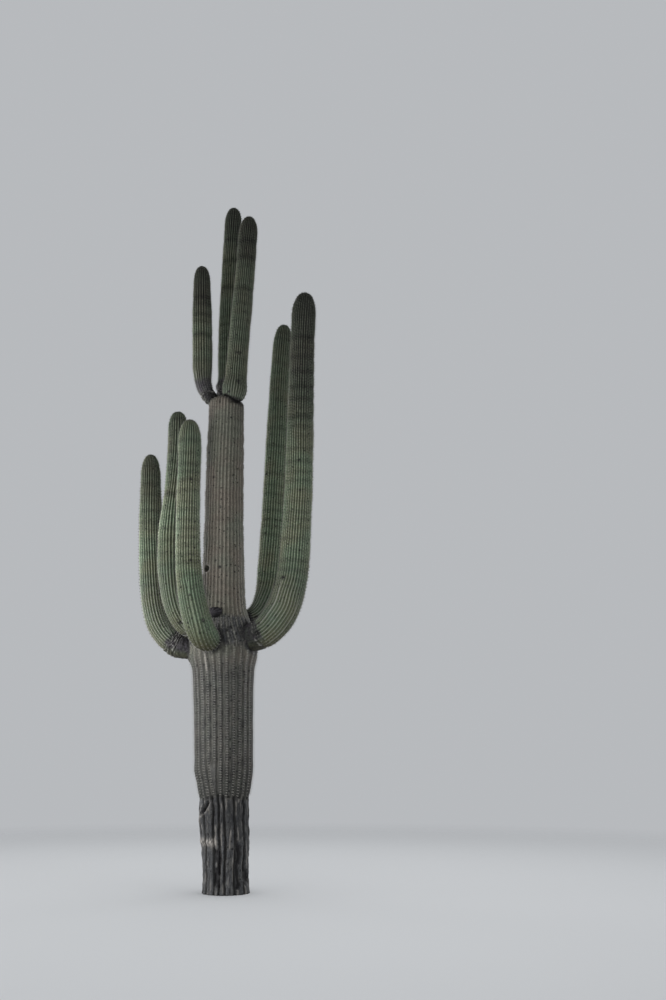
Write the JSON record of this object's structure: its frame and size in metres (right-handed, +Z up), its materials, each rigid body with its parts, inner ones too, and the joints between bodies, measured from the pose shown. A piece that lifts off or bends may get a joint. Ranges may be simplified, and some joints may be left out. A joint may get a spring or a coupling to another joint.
{
  "type": "saguaro cactus",
  "caption": "Tall saguaro cactus with a swollen ribbed trunk, a whorl of upright arms round its waist and more arms on its top.",
  "frame": {"origin": "middle of the trunk's flat cut at ground level", "axes": "+Z up along the trunk, +X to the right and +Y away from the viewer as the picture sees the plant"},
  "size_m": [1.8945, 1.2566, 7.568],
  "materials": {
    "trunk_skin": "old corky skin, matt and grey-brown",
    "arm_skin": "waxy green skin with a dusty bloom",
    "dry_tissue": "dry dead tissue and spines, matt"
  },
  "bodies": {
    "root": {"trunk": "trunk_skin", "far_left_arm_elbow": "arm_skin", "far_left_arm_upright": "arm_skin", "middle_left_arm_elbow": "arm_skin", "middle_left_arm_upright": "arm_skin", "front_left_arm_elbow": "arm_skin", "front_left_arm_upright": "arm_skin", "rear_right_arm_elbow": "arm_skin", "rear_right_arm_upright": "arm_skin", "front_right_arm_elbow": "arm_skin", "front_right_arm_upright": "arm_skin", "top_left_arm_elbow": "arm_skin", "top_left_arm_upright": "arm_skin", "top_rear_arm": "arm_skin", "top_front_arm": "arm_skin", "dead_bud": "dry_tissue"}
  },
  "joints": []
}
